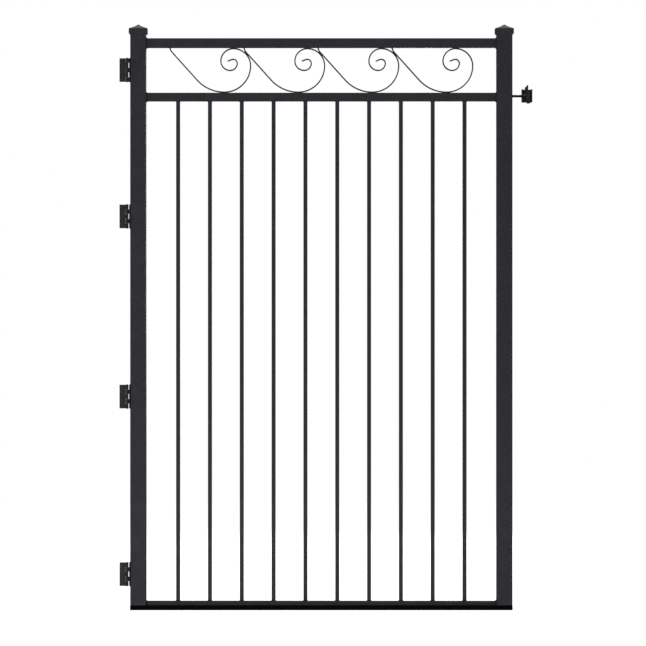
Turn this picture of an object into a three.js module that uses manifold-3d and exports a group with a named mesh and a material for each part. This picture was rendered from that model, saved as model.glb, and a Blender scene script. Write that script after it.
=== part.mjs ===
// A single-leaf steel garden gate: two square posts with caps, three rails, ten pickets and a
// band of four scrolls, hung on four knuckle hinges and held shut by a gravity latch.
// Millimetres, +Z up. The front of the gate faces -Y, the hinges are on the -X side.
import * as THREE from 'three';
import { mergeVertices } from 'three/addons/utils/BufferGeometryUtils.js';
import Module from 'manifold-3d';

const wasm = await Module();
wasm.setup();

// ---------------------------------------------------------------- driving dimensions
const leafWidth = 1202.5; // outer face to outer face of the two posts
const postHeight = 1828; // floor to the top of the post tubes

const weldGap = 0.2; // left between pieces that are welded or pushed together
const roundSides = 24; // sides of a round bar, knuckle or bore

const postSize = 50;
const postWall = 2;
const postCorner = 2.6;

const topRailSize = 30;
const lowRailSize = 27; // middle and bottom rails
const railWall = 1.5;
const railCorner = 2;
const topRailDrop = 28.3; // top of the post tube down to the top of the top rail
const scrollBand = 141.5; // clear height between the top and middle rails

const picketCount = 10;
const picketSize = 12.7;
const picketChamfer = 0.9;

const scrollCount = 4;
const scrollThickness = 4;
const scrollDepth = 12.7;
const tailSlope = THREE.MathUtils.degToRad(48);
const tailKickSlope = THREE.MathUtils.degToRad(72);
const tailKick = 9; // length of the steeper bit at the top of each tail
const endSlope = THREE.MathUtils.degToRad(22);

const channelWall = 1.2; // edging channel pushed over the bottom of the leaf
const channelHeight = 15.2;
const channelOverrun = 0.5;
const beadHeight = 7.2; // centre of the pressed bead that stiffens each side of the channel
const beadWidth = 2.6;
const beadRelief = 0.8;

const capOverhang = 4.5; // past each face of the post
const capSkirt = 18.7;
const capRise = 13.5;
const capRoof = 2.2;
const capClearance = 0.35; // between the post tube and the cap, on each side
const capChamfer = 3;
const capTaper = 2.4;

const upperHinges = [129.4, 589.6]; // top of the post tube down to each upper hinge's centre
const lowerHinges = [672, 113.7]; // floor up to each lower hinge's centre
const hingeLength = 74.4;
const knuckleCount = 5;
const knuckleGap = 0.5;
const barrelRadius = 4.5;
const hingeOffset = 9.3; // hinge axis to the outer face of the hinge post
const leafThickness = 3;
const postLeafReach = 24.1; // hinge axis to the free edge of the leaf on the support
const gateLeafDepth = 30;
const notchClearance = 0.5;
const pinRadius = 2.5;
const pinClearance = 0.05;
const pinHeadRadius = 3.6;
const pinHeadHeight = 1;
const pinTail = 1.5;

const strikerRadius = 4;
const strikerDrop = 10.5; // middle rail's top down to the striker's axis
const strikerEndPlay = 3.65; // end of the striker to the far side of the housing
const grooveAt = 19.5; // post face to the centre of the turned groove
const grooveWidth = 3;
const grooveDepth = 0.7;

const latchGap = 29.75; // post face to the latch housing
const latchWidth = 32.9;
const latchTop = 21.7; // striker axis up to the top of the housing
const latchBottom = 19.2; // striker axis down to the bottom of the housing
const latchFront = 20; // striker axis forward to the open side of the housing
const latchBack = 27; // striker axis back to the outside of the web
const latchWall = 3;
const slotClearance = 1; // above and below the striker
const stopClearance = 0.5; // between the closed striker and the end of the slot
const mouthFlare = 4;
const pivotBack = 12; // striker axis back to the pawl's pivot
const pivotRise = 1;
const pivotRadius = 3;
const hubRadius = 6;
const hubPlay = 0.4; // between the pawl's hub and the housing, at each end
const pawlWidth = 10.8;
const pawlPlay = 4.2; // pawl's right side to the far side of the housing
const pawlArm = 14.5; // pivot up to the top of the arm
const strikerPlay = 2; // between the closed striker and the pawl around it
const hookTip = 24.5; // pivot down to the tip of the hook
const tabHeight = 20; // top of the arm up to the tip of the thumb tab
const tabShoulder = 10.5; // top of the arm up to where the tab's slope starts
const tabThickness = 5;
const tabLeft = 5.6; // how far the thumb tab reaches past the pawl's left side
const tabRight = 5.4; // pawl's left side to the tab's upright edge

// ---------------------------------------------------------------- sizes that follow
const halfWidth = leafWidth / 2;
const capWidth = postSize + 2 * capOverhang;
const innerSpan = leafWidth - 2 * postSize;
const frontFace = -postSize / 2;
const tubeBottom = channelWall + weldGap;
const tubeTop = postHeight;
const topRailTop = tubeTop - topRailDrop;
const topRailBottom = topRailTop - topRailSize;
const middleRailTop = topRailBottom - scrollBand;
const middleRailBottom = middleRailTop - lowRailSize;
const bottomRailTop = tubeBottom + lowRailSize;
const eaveHeight = tubeTop + capClearance + capRoof;
const hingeHeights = [...upperHinges.map((drop) => tubeTop - drop), ...lowerHinges];
const hingeX = -halfWidth - hingeOffset;
const hingeY = frontFace - barrelRadius;
const strikerZ = middleRailTop - strikerDrop;
const latchLeft = halfWidth + latchGap;
const latchRight = latchLeft + latchWidth;
const latchInside = latchWidth - latchWall; // housing's left side to the inside of its far side
const hingeLeft = hingeX - postLeafReach;
const frontMost = hingeY - barrelRadius;
const backMost = Math.max(capWidth / 2, latchBack);
const centreX = (hingeLeft + latchRight) / 2;
const centreY = (frontMost + backMost) / 2;

// ---------------------------------------------------------------- finishes
const coated = new THREE.MeshStandardMaterial({ color: 0x2f2f32, roughness: 0.45, metalness: 0.3 });
const moulded = new THREE.MeshStandardMaterial({ color: 0x343437, roughness: 0.5, metalness: 0 });
const edging = new THREE.MeshStandardMaterial({ color: 0x0c0c0d, roughness: 0.7, metalness: 0 });
const hardware = new THREE.MeshStandardMaterial({ color: 0x29292b, roughness: 0.4, metalness: 0.5 });

// ---------------------------------------------------------------- shape helpers
function box(x0, x1, y0, y1, z0, z1) {
  const geometry = new THREE.BoxGeometry(x1 - x0, y1 - y0, z1 - z0);
  return geometry.translate((x0 + x1) / 2, (y0 + y1) / 2, (z0 + z1) / 2);
}

function extrude(shape, length) {
  const settings = { depth: length, bevelEnabled: false, curveSegments: 4 };
  return new THREE.ExtrudeGeometry(shape, settings);
}

// Stands the outline's x and y on the model's y and z, and runs it along +X from x0.
function alongX(shape, x0, x1) {
  const turn = new THREE.Matrix4().makeBasis(
    new THREE.Vector3(0, 1, 0),
    new THREE.Vector3(0, 0, 1),
    new THREE.Vector3(1, 0, 0),
  );
  return extrude(shape, x1 - x0).applyMatrix4(turn).translate(x0, 0, 0);
}

// Stands the outline's x and y on the model's x and z, and runs it from y0 to y1.
function alongY(shape, y0, y1) {
  return extrude(shape, y1 - y0).rotateX(Math.PI / 2).translate(0, y1, 0);
}

function alongZ(shape, z0, z1) {
  return extrude(shape, z1 - z0).translate(0, 0, z0);
}

function outline(points) {
  return new THREE.Shape(points.map(([x, y]) => new THREE.Vector2(x, y)));
}

function addSquare(path, size, corner) {
  const flat = size / 2 - corner;
  path.absarc(flat, flat, corner, 0, Math.PI / 2);
  path.absarc(-flat, flat, corner, Math.PI / 2, Math.PI);
  path.absarc(-flat, -flat, corner, Math.PI, 1.5 * Math.PI);
  path.absarc(flat, -flat, corner, 1.5 * Math.PI, 2 * Math.PI);
  path.closePath();
  return path;
}

function squareTube(size, wall, corner) {
  const shape = addSquare(new THREE.Shape(), size, corner);
  shape.holes.push(addSquare(new THREE.Path(), size - 2 * wall, Math.max(corner - wall, 0.4)));
  return shape;
}

function roundBar(radius, length) {
  return new THREE.CylinderGeometry(radius, radius, length, roundSides);
}

// A round bar along Z about (x, y), or along X about (y, z).
function barZ(radius, x, y, z0, z1) {
  return roundBar(radius, z1 - z0).rotateX(Math.PI / 2).translate(x, y, (z0 + z1) / 2);
}

function barX(radius, y, z, x0, x1) {
  return roundBar(radius, x1 - x0).rotateZ(Math.PI / 2).translate((x0 + x1) / 2, y, z);
}

function turned(profile, sides, start = 0) {
  const points = profile.map(([r, z]) => new THREE.Vector2(r, z));
  return new THREE.LatheGeometry(points, sides, start).rotateX(Math.PI / 2);
}

// Radius of a bore whose flats clear a round bar of the given radius in every position.
function boreFor(radius, clearance) {
  return (radius + clearance) / Math.cos(Math.PI / roundSides);
}

// ---------------------------------------------------------------- joining and cutting
function solid(geometry) {
  const bare = geometry.clone();
  bare.deleteAttribute('normal');
  bare.deleteAttribute('uv');
  const merged = mergeVertices(bare, 1e-4);
  const mesh = new wasm.Mesh({
    numProp: 3,
    vertProperties: merged.attributes.position.array,
    triVerts: new Uint32Array(merged.index.array),
  });
  return new wasm.Manifold(mesh);
}

function geometryOf(manifold) {
  const mesh = manifold.getMesh();
  const geometry = new THREE.BufferGeometry();
  geometry.setAttribute('position', new THREE.BufferAttribute(mesh.vertProperties, 3));
  geometry.setIndex(new THREE.BufferAttribute(mesh.triVerts, 1));
  const faceted = geometry.toNonIndexed();
  faceted.computeVertexNormals();
  return faceted;
}

function joined(first, ...others) {
  return others.reduce((whole, piece) => whole.add(solid(piece)), solid(first));
}

function cut(whole, ...tools) {
  return tools.reduce((left, tool) => left.subtract(solid(tool)), whole);
}

// ---------------------------------------------------------------- assembly
const gate = new THREE.Group();
gate.position.set(-centreX, -centreY, 0);

function place(name, geometry, material, x = 0, y = 0, z = 0) {
  const mesh = new THREE.Mesh(geometry, material);
  mesh.name = name;
  mesh.position.set(x, y, z);
  gate.add(mesh);
}

// ---------------------------------------------------------------- posts and caps
function addPosts() {
  const tube = alongZ(squareTube(postSize, postWall, postCorner), tubeBottom, tubeTop);
  const x = halfWidth - postSize / 2;
  place('hinge_stile', tube, coated, -x);
  place('latch_stile', tube, coated, x);
}

// A shallow four-sided roof with slightly hollow slopes over a skirt that hugs the tube.
function capGeometry() {
  const half = capWidth / 2;
  const socket = postSize / 2 + capClearance;
  const rise = (share) => capRise * (0.6 * share + 0.4 * share * share);
  const slope = [1, 0.8, 0.6, 0.4, 0.2, 0].map((share) => [half * (1 - share), rise(share)]);
  const profile = [
    [socket, -capRoof],
    [socket, -capSkirt],
    [half - capTaper, -capSkirt],
    [half, -capSkirt + capChamfer],
    ...slope.reverse(),
  ];
  const corners = [[0, -capRoof], ...profile].map(([r, z]) => [r * Math.SQRT2, z]);
  return turned(corners, 4, Math.PI / 4);
}

function addCaps() {
  const x = halfWidth - postSize / 2;
  const geometry = capGeometry();
  place('hinge_stile_cap', geometry, moulded, -x, 0, eaveHeight);
  place('latch_stile_cap', geometry, moulded, x, 0, eaveHeight);
}

// ---------------------------------------------------------------- rails and pickets
function addRails() {
  const reach = innerSpan / 2 - weldGap;
  const top = alongX(squareTube(topRailSize, railWall, railCorner), -reach, reach);
  const low = alongX(squareTube(lowRailSize, railWall, railCorner), -reach, reach);
  place('top_rail', top, coated, 0, 0, topRailTop - topRailSize / 2);
  place('middle_rail', low, coated, 0, 0, middleRailTop - lowRailSize / 2);
  place('bottom_rail', low, coated, 0, 0, bottomRailTop - lowRailSize / 2);
}

function addPickets() {
  const half = picketSize / 2;
  const flat = half - picketChamfer;
  const section = outline([
    [half, flat], [flat, half], [-flat, half], [-half, flat],
    [-half, -flat], [-flat, -half], [flat, -half], [half, -flat],
  ]);
  const bar = alongZ(section, bottomRailTop + weldGap, middleRailBottom - weldGap);
  const pitch = innerSpan / (picketCount + 1);
  for (let i = 1; i <= picketCount; i++) {
    const name = 'picket_' + String(i).padStart(2, '0');
    place(name, bar, coated, i * pitch - innerSpan / 2);
  }
}

// ---------------------------------------------------------------- scrolls
const scrollRise = scrollBand - scrollThickness - 2 * weldGap; // of the bar's centre line
const tailRadius = 0.842 * scrollRise;
const coilRadii = [0.604, 0.396, 0.287, 0.214, 0.162, 0.0935].map((share) => share * scrollRise);
const endLength = 0.1 * scrollRise;

function arcPoints(x, z, radius, from, to, steps) {
  return Array.from({ length: steps }, (_, i) => {
    const angle = from + ((to - from) * (i + 1)) / steps;
    return [x + radius * Math.cos(angle), z + radius * Math.sin(angle)];
  });
}

// The bar's centre line, from the top of the tail to the end of the coil. Its lowest point
// is the origin. The coil is a run of quarter turns, each tighter than the one before.
function scrollLine() {
  const foot = -Math.PI / 2;
  const bend = [
    -tailRadius * Math.sin(tailSlope),
    tailRadius * (1 - Math.cos(tailSlope)),
  ];
  const end = scrollRise + (scrollThickness / 2) * (1 - Math.cos(tailKickSlope));
  const kick = [0, end - tailKick * Math.sin(tailKickSlope)];
  kick[0] = bend[0] - (kick[1] - bend[1]) / Math.tan(tailSlope);
  const points = [[kick[0] - tailKick * Math.cos(tailKickSlope), end], kick, bend];
  points.push(...arcPoints(0, tailRadius, tailRadius, foot - tailSlope, foot, 7));
  let [x, z] = [0, 0];
  coilRadii.forEach((radius, turn) => {
    const from = foot + (turn * Math.PI) / 2;
    const last = turn === coilRadii.length - 1;
    const to = from + Math.PI / 2 + (last ? endSlope : 0);
    const [cx, cz] = [x - radius * Math.cos(from), z - radius * Math.sin(from)];
    points.push(...arcPoints(cx, cz, radius, from, to, 9));
    [x, z] = points[points.length - 1];
  });
  points.push([x - endLength * Math.cos(endSlope), z - endLength * Math.sin(endSlope)]);
  return points;
}

// Thickens a centre line into the outline of a flat bar on edge.
function barOutline(line, thickness) {
  const sides = [[], []];
  line.forEach(([x, z], i) => {
    const before = line[Math.max(i - 1, 0)];
    const after = line[Math.min(i + 1, line.length - 1)];
    const inward = new THREE.Vector2(x - before[0], z - before[1]).normalize();
    const outward = new THREE.Vector2(after[0] - x, after[1] - z).normalize();
    const along = inward.add(outward).normalize();
    sides[0].push([x - (along.y * thickness) / 2, z + (along.x * thickness) / 2]);
    sides[1].push([x + (along.y * thickness) / 2, z - (along.x * thickness) / 2]);
  });
  return outline([...sides[1], ...sides[0].reverse()]);
}

// Distance between scrolls at which each tail just touches the coil before it.
function scrollPitch() {
  const [lower, upper] = coilRadii;
  const sideways = lower - upper + tailRadius * Math.sin(tailSlope);
  const upward = lower - tailRadius * (1 - Math.cos(tailSlope));
  const touching = upper + scrollThickness + weldGap;
  const reach = sideways * Math.sin(tailSlope) + upward * Math.cos(tailSlope) + touching;
  return reach / Math.sin(tailSlope);
}

function addScrolls() {
  const line = scrollLine();
  const bar = alongY(barOutline(line, scrollThickness), -scrollDepth / 2, scrollDepth / 2);
  const pitch = scrollPitch();
  const left = line[0][0];
  const right = coilRadii[0];
  const first = -((scrollCount - 1) * pitch + left + right) / 2;
  const z = middleRailTop + weldGap + scrollThickness / 2;
  for (let i = 0; i < scrollCount; i++) {
    place('scroll_' + (i + 1), bar, coated, first + i * pitch, 0, z);
  }
}

// ---------------------------------------------------------------- bottom channel
// A U-shaped edging along the bottom of the leaf, with a bead pressed out along each side.
function addBottomChannel() {
  const inside = postSize / 2 + weldGap;
  const outside = inside + channelWall;
  const bead = [
    [outside, beadHeight - beadWidth / 2],
    [outside + beadRelief, beadHeight],
    [outside, beadHeight + beadWidth / 2],
  ];
  const section = outline([
    [-outside, 0],
    [outside, 0],
    ...bead,
    [outside, channelHeight],
    [inside, channelHeight],
    [inside, channelWall],
    [-inside, channelWall],
    [-inside, channelHeight],
    [-outside, channelHeight],
    ...bead.map(([y, z]) => [-y, z]).reverse(),
  ]);
  const reach = halfWidth + channelOverrun;
  place('bottom_channel', alongX(section, -reach, reach), edging);
}

// ---------------------------------------------------------------- hinges
// Each hinge is modelled about its own axis, with z = 0 at mid-length.
const knuckleHeight = (hingeLength - (knuckleCount - 1) * knuckleGap) / knuckleCount;

// The lowest and highest point of knuckle number i, counted from the bottom.
function knuckleSpan(i) {
  const bottom = -hingeLength / 2 + i * (knuckleHeight + knuckleGap);
  return [bottom, bottom + knuckleHeight];
}

const strapFront = barrelRadius - leafThickness;

// A leaf is a full-height plate with knuckles on every second step, and a bore through them.
function hingeLeaf(plate, strapFrom, strapTo, firstKnuckle) {
  const pieces = [];
  for (let i = firstKnuckle; i < knuckleCount; i += 2) {
    const [bottom, top] = knuckleSpan(i);
    pieces.push(barZ(barrelRadius, 0, 0, bottom, top));
    pieces.push(box(strapFrom, strapTo, strapFront, barrelRadius, bottom, top));
  }
  const bore = boreFor(pinRadius, pinClearance);
  const reach = hingeLength / 2 + 1;
  return cut(joined(plate, ...pieces), barZ(bore, 0, 0, -reach, reach));
}

// The leaf that is fastened to the support: flat, its back in line with the gate's front.
function postLeaf(firstKnuckle) {
  const edge = -(barrelRadius + notchClearance);
  const half = hingeLength / 2;
  const plate = box(-postLeafReach, edge, strapFront, barrelRadius, -half, half);
  return geometryOf(hingeLeaf(plate, edge - 1, 0, firstKnuckle));
}

// The leaf that is fastened to the side of the hinge post, cranked out to the barrel.
function gateLeaf(firstKnuckle) {
  const inner = hingeOffset - weldGap;
  const half = hingeLength / 2;
  const back = barrelRadius + gateLeafDepth;
  const plate = box(inner - leafThickness, inner, strapFront, back, -half, half);
  return geometryOf(hingeLeaf(plate, 0, inner - 1, firstKnuckle));
}

function hingePin() {
  const half = hingeLength / 2;
  const seat = half + knuckleGap / 2;
  return turned([
    [0, -half - pinTail],
    [pinRadius - 0.6, -half - pinTail],
    [pinRadius, -half - pinTail + 0.6],
    [pinRadius, seat],
    [pinHeadRadius, seat],
    [pinHeadRadius, seat + pinHeadHeight / 2],
    [pinHeadRadius - 0.8, seat + pinHeadHeight],
    [0, seat + pinHeadHeight],
  ], roundSides);
}

function addHinges() {
  const pin = hingePin();
  const leaves = [0, 1].map((first) => ({ post: postLeaf(first), gate: gateLeaf(1 - first) }));
  hingeHeights.forEach((z, i) => {
    const set = i === 0 ? leaves[1] : leaves[0]; // the top hinge is hung the other way up
    place('post_leaf_' + (i + 1), set.post, hardware, hingeX, hingeY, z);
    place('gate_leaf_' + (i + 1), set.gate, hardware, hingeX, hingeY, z);
    place('hinge_pin_' + (i + 1), pin, hardware, hingeX, hingeY, z);
  });
}

// ---------------------------------------------------------------- striker
function addStriker() {
  const waist = strikerRadius - grooveDepth;
  const length = latchGap + latchInside - strikerEndPlay - weldGap;
  const groove = grooveAt - weldGap;
  const profile = [
    [0, 0],
    [strikerRadius, 0],
    [strikerRadius, groove - grooveWidth / 2],
    [waist, groove - grooveWidth / 4],
    [waist, groove + grooveWidth / 4],
    [strikerRadius, groove + grooveWidth / 2],
    [strikerRadius, length - 1],
    [strikerRadius - 1, length],
    [0, length],
  ];
  const rod = turned(profile, roundSides).rotateY(Math.PI / 2);
  place('striker_rod', rod, hardware, halfWidth + weldGap, 0, strikerZ);
}

// ---------------------------------------------------------------- latch
// The latch is modelled about the closed striker's axis: y = 0 and z = 0 are on it.
function latchHousing() {
  const right = latchWidth;
  const frame = joined(
    box(0, latchWall, -latchFront, latchBack, -latchBottom, latchTop),
    box(right - latchWall, right, -latchFront, latchBack, -latchBottom, latchTop),
    box(0, right, latchBack - latchWall, latchBack, -latchBottom, latchTop),
  );
  const half = strikerRadius + slotClearance;
  const endAt = strikerRadius + stopClearance - half;
  const slot = new THREE.Shape();
  slot.moveTo(-latchFront - 1, -half - mouthFlare - 1);
  slot.lineTo(-latchFront + mouthFlare, -half);
  slot.lineTo(endAt, -half);
  slot.absarc(endAt, 0, half, -Math.PI / 2, Math.PI / 2);
  slot.lineTo(-latchFront + mouthFlare, half);
  slot.lineTo(-latchFront - 1, half + mouthFlare + 1);
  const bore = boreFor(pivotRadius, pinClearance);
  return geometryOf(cut(
    frame,
    alongX(slot, -1, latchWall + 1),
    barX(bore, pivotBack, pivotRise, -1, right + 1),
  ));
}

// The pawl hooks over the closed striker: an arm from the pivot to a hook with a sloped front,
// which a striker coming from the front lifts. It is modelled about its pivot.
function latchPawl() {
  const over = strikerRadius + strikerPlay - pivotRise;
  const behind = -pivotBack - strikerRadius - strikerPlay;
  const front = -pivotBack - latchFront + 1;
  const side = outline([
    [0, hubRadius],
    [0, -hubRadius],
    [-3, -hubRadius + 1],
    [-5, over - 3],
    [-8, over],
    [behind + 2, over],
    [behind, over - 2],
    [behind - 1, 2 - hookTip],
    [behind - 2.2, -hookTip],
    [behind - 4, -hookTip],
    [behind - 5.4, 1.6 - hookTip],
    [front, 6],
    [front, pawlArm - 2],
    [front + 2, pawlArm],
    [-8, pawlArm],
  ]);
  const x1 = latchInside - pawlPlay;
  const x0 = x1 - pawlWidth;
  const tabFoot = pawlArm - 6;
  const tab = outline([
    [x0 + tabRight, tabFoot],
    [x0 + tabRight, pawlArm + tabHeight],
    [x0 + tabRight - 1.4, pawlArm + tabHeight],
    [x0 - tabLeft, pawlArm + tabShoulder],
    [x0 - tabLeft, tabFoot],
  ]);
  const tabY = front + 6;
  const heel = box(x0, x1, 0, latchBack - latchWall - pivotBack - hubPlay, -9, -3);
  const hubFrom = latchWall + hubPlay;
  const hubTo = latchInside - hubPlay;
  const whole = joined(
    alongX(side, x0, x1),
    alongY(tab, tabY, tabY + tabThickness),
    heel,
    barX(hubRadius, 0, 0, hubFrom, hubTo),
  );
  const bore = boreFor(pivotRadius, pinClearance);
  return geometryOf(cut(whole, barX(bore, 0, 0, -1, latchWidth + 1)));
}

function addLatch() {
  place('latch_housing', latchHousing(), hardware, latchLeft, 0, strikerZ);
  place('latch_pawl', latchPawl(), hardware, latchLeft, pivotBack, strikerZ + pivotRise);
  const pivot = barX(pivotRadius, 0, 0, weldGap, latchWidth - weldGap);
  place('latch_pivot', pivot, hardware, latchLeft, pivotBack, strikerZ + pivotRise);
}

addPosts();
addCaps();
addRails();
addPickets();
addScrolls();
addBottomChannel();
addHinges();
addStriker();
addLatch();

export default gate;
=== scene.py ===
"""Looks for a steel garden gate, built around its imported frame.

The square tubes and pickets keep their frame solids and get a powder coat. The caps, scrolls,
hinges, striker, latch and edging are finer meshes that stand for their solids, and every joint
that is welded gets its bead. Everything is in metres, at rest, in the frame's own coordinates.
"""

import math

import bmesh
import bpy
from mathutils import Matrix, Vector


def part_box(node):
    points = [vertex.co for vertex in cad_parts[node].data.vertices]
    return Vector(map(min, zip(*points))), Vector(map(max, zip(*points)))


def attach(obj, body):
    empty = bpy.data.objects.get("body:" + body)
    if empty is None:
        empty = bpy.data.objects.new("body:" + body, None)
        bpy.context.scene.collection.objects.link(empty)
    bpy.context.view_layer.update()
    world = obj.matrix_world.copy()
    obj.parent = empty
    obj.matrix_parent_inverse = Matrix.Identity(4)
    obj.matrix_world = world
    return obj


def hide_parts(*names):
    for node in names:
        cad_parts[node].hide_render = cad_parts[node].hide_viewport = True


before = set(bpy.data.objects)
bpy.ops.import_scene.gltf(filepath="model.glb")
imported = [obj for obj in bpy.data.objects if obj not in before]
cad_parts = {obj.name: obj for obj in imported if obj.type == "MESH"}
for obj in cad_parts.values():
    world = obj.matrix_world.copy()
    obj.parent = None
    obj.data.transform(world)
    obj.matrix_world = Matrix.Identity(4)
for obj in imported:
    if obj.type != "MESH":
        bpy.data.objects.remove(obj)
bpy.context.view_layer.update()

bl_info = {
    "name": "Garden gate",
    "version": (1, 0, 0),
    "blender": (4, 5, 0),
    "location": "3D View > Sidebar > Garden gate",
    "description": "Finishes, fine pieces, weld beads and studio for a steel garden gate",
    "category": "Object",
}

MM = 0.001

PICKETS = sorted(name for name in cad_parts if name.startswith("picket_"))
SCROLLS = sorted(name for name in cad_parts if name.startswith("scroll_"))
STILES = ["hinge_stile", "latch_stile"]
RAILS = ["top_rail", "middle_rail", "bottom_rail"]
HINGES = sorted(name[-1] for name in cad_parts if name.startswith("hinge_pin_"))


# ------------------------------------------------------------------ settings
class GateFinishes(bpy.types.PropertyGroup):
    """Colours and surface character of every finish on the gate."""

    coat_colour: bpy.props.FloatVectorProperty(
        name="Powder coat",
        description="Colour of the coat on the posts, rails, pickets and scrolls",
        subtype="COLOR",
        size=3,
        min=0.0,
        max=1.0,
        default=(0.0208, 0.0194, 0.0286),
    )
    coat_roughness: bpy.props.FloatProperty(
        name="Coat roughness",
        description="Roughness of the powder coat",
        subtype="FACTOR",
        min=0.0,
        max=1.0,
        default=0.42,
    )
    peel_depth: bpy.props.FloatProperty(
        name="Orange peel",
        description="Depth of the powder coat's orange peel",
        unit="LENGTH",
        min=0.0,
        max=0.001,
        precision=6,
        default=0.00014,
    )
    cap_colour: bpy.props.FloatVectorProperty(
        name="Caps",
        description="Colour of the moulded post caps",
        subtype="COLOR",
        size=3,
        min=0.0,
        max=1.0,
        default=(0.027, 0.027, 0.0285),
    )
    edging_colour: bpy.props.FloatVectorProperty(
        name="Bottom edging",
        description="Colour of the rubber edging under the leaf",
        subtype="COLOR",
        size=3,
        min=0.0,
        max=1.0,
        default=(0.0022, 0.0022, 0.0024),
    )
    hinge_colour: bpy.props.FloatVectorProperty(
        name="Hinges and latch",
        description="Colour of the paint on the hinge leaves, the latch housing and the pawl",
        subtype="COLOR",
        size=3,
        min=0.0,
        max=1.0,
        default=(0.016, 0.016, 0.0172),
    )
    pin_colour: bpy.props.FloatVectorProperty(
        name="Pins and striker",
        description="Colour of the blackened steel pins and striker",
        subtype="COLOR",
        size=3,
        min=0.0,
        max=1.0,
        default=(0.035, 0.035, 0.037),
    )
    bare_steel: bpy.props.FloatVectorProperty(
        name="Rubbed steel",
        description="Colour of steel where the finish has rubbed through",
        subtype="COLOR",
        size=3,
        min=0.0,
        max=1.0,
        default=(0.24, 0.235, 0.225),
    )
    dust_colour: bpy.props.FloatVectorProperty(
        name="Dust",
        description="Colour of the fine dust that settles on faces that look up",
        subtype="COLOR",
        size=3,
        min=0.0,
        max=1.0,
        default=(0.16, 0.152, 0.142),
    )
    dust: bpy.props.FloatProperty(
        name="Dust cover",
        description="How much dust lies on faces that look up",
        subtype="FACTOR",
        min=0.0,
        max=1.0,
        default=0.16,
    )


class GateDetails(bpy.types.PropertyGroup):
    """Sizes of the small shapes that the frame solids leave out."""

    edge_rounding: bpy.props.FloatProperty(
        name="Edge rounding",
        description="Width of the rounded edge on tube ends, leaves and plates",
        unit="LENGTH",
        min=0.0001,
        max=0.002,
        precision=5,
        default=0.0004,
    )
    rail_weld: bpy.props.FloatProperty(
        name="Rail weld",
        description="Leg of the fillet weld between a rail and a post",
        unit="LENGTH",
        min=0.001,
        max=0.008,
        precision=4,
        default=0.0042,
    )
    picket_weld: bpy.props.FloatProperty(
        name="Picket weld",
        description="Leg of the fillet weld between a picket and a rail",
        unit="LENGTH",
        min=0.0005,
        max=0.005,
        precision=4,
        default=0.0022,
    )
    scroll_weld: bpy.props.FloatProperty(
        name="Scroll weld",
        description="Radius of the tack welds that hold the scrolls",
        unit="LENGTH",
        min=0.0005,
        max=0.004,
        precision=4,
        default=0.0017,
    )
    leaf_weld: bpy.props.FloatProperty(
        name="Hinge weld",
        description="Leg of the fillet weld around each moving hinge leaf",
        unit="LENGTH",
        min=0.0005,
        max=0.004,
        precision=4,
        default=0.0025,
    )
    cap_corner: bpy.props.FloatProperty(
        name="Cap corners",
        description="Radius of the caps' upright corners",
        unit="LENGTH",
        min=0.0005,
        max=0.01,
        precision=4,
        default=0.0032,
    )


class GateStudio(bpy.types.PropertyGroup):
    """Camera and lights of the studio."""

    view_width: bpy.props.FloatProperty(
        name="View width",
        description="Width that the camera takes in at the gate",
        unit="LENGTH",
        min=0.5,
        max=10.0,
        default=2.0349,
    )
    camera_distance: bpy.props.FloatProperty(
        name="Camera distance",
        description="Distance from the camera to the gate",
        unit="LENGTH",
        min=2.0,
        max=60.0,
        default=15.0,
    )
    aim_x: bpy.props.FloatProperty(
        name="Aim across",
        description="Where the camera looks, left and right of the gate's origin",
        unit="LENGTH",
        default=-0.0094,
    )
    aim_z: bpy.props.FloatProperty(
        name="Aim height",
        description="Height that the camera looks at",
        unit="LENGTH",
        default=0.9033,
    )
    key_power: bpy.props.FloatProperty(
        name="Key light", description="Power of the front softbox", unit="POWER", min=0.0, default=94.0
    )
    top_power: bpy.props.FloatProperty(
        name="Top light", description="Power of the overhead softbox", unit="POWER", min=0.0, default=36.0
    )
    back_power: bpy.props.FloatProperty(
        name="Back light", description="Power of the softbox behind", unit="POWER", min=0.0, default=70.0
    )
    strip_power: bpy.props.FloatProperty(
        name="Side strips", description="Power of each side strip light", unit="POWER", min=0.0, default=26.0
    )
    low_power: bpy.props.FloatProperty(
        name="Low light", description="Power of the low strip in front", unit="POWER", min=0.0, default=1.2
    )
    ambient: bpy.props.FloatProperty(
        name="Ambient light", description="Brightness of the room around", min=0.0, max=2.0, default=0.06
    )


# ------------------------------------------------------------------ places from the frame
def middle(node):
    low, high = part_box(node)
    return (low + high) / 2


def half_size(node):
    low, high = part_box(node)
    return (high - low) / 2


# ------------------------------------------------------------------ outlines
def arc(x, y, radius, start, end, steps):
    """Points on an arc, both ends in, with angles in degrees."""
    angles = [math.radians(start + (end - start) * i / steps) for i in range(steps + 1)]
    return [(x + radius * math.cos(a), y + radius * math.sin(a)) for a in angles]


def rounded_rectangle(half_x, half_y, radius, steps=4):
    """A rectangle with rounded corners, anticlockwise from the corner at high x and y."""
    points = []
    for quarter, (sx, sy) in enumerate(((1, 1), (-1, 1), (-1, -1), (1, -1))):
        x, y = sx * (half_x - radius), sy * (half_y - radius)
        points += arc(x, y, radius, quarter * 90, quarter * 90 + 90, steps)
    return points


def run_along(axis, u, v, w):
    """Stands an outline's (u, v) and a distance w on x, y and z."""
    return {"x": (w, u, v), "y": (u, w, v), "z": (u, v, w)}[axis]


# ------------------------------------------------------------------ meshes
def skin(rings, closed=False):
    """Vertices and faces of a skin over rings of equal length, with lids unless it is closed."""
    count = len(rings[0])
    vertices = [tuple(point) for ring in rings for point in ring]
    faces = []
    steps = len(rings) if closed else len(rings) - 1
    for i in range(steps):
        here, there = i * count, ((i + 1) % len(rings)) * count
        for k in range(count):
            after = (k + 1) % count
            faces.append((here + k, here + after, there + after, there + k))
    if not closed:
        faces.append(tuple(range(count)))
        faces.append(tuple(range((len(rings) - 1) * count, len(rings) * count)))
    return vertices, faces


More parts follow.
